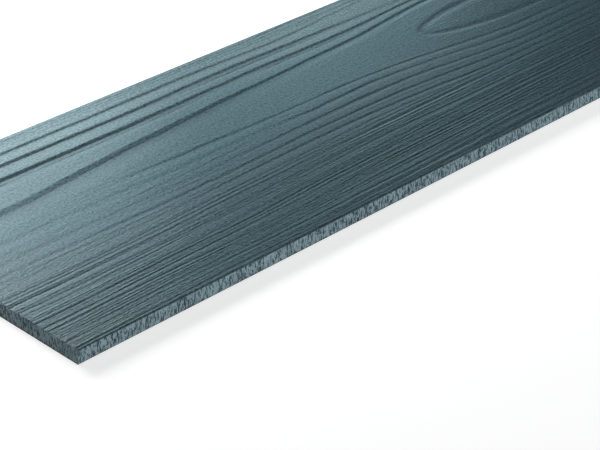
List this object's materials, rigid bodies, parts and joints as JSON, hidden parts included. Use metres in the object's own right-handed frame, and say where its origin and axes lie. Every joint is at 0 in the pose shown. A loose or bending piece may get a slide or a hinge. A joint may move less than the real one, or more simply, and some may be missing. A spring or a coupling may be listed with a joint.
{
  "type": "fibre cement siding board",
  "caption": "Long flat rectangular wall-cladding plank of painted fibre cement, with a wood-grain embossed face and eased long edges.",
  "frame": {"origin": "middle of the back face, on the plane the plank lies on", "axes": "+X along the plank, +Y across it towards the long edge that the next course laps over, +Z out of the embossed face"},
  "size_m": [3.6, 0.18, 0.008],
  "materials": {
    "painted_fibre_cement": "satin"
  },
  "bodies": {
    "root": {"siding_board": "painted_fibre_cement"}
  },
  "joints": []
}
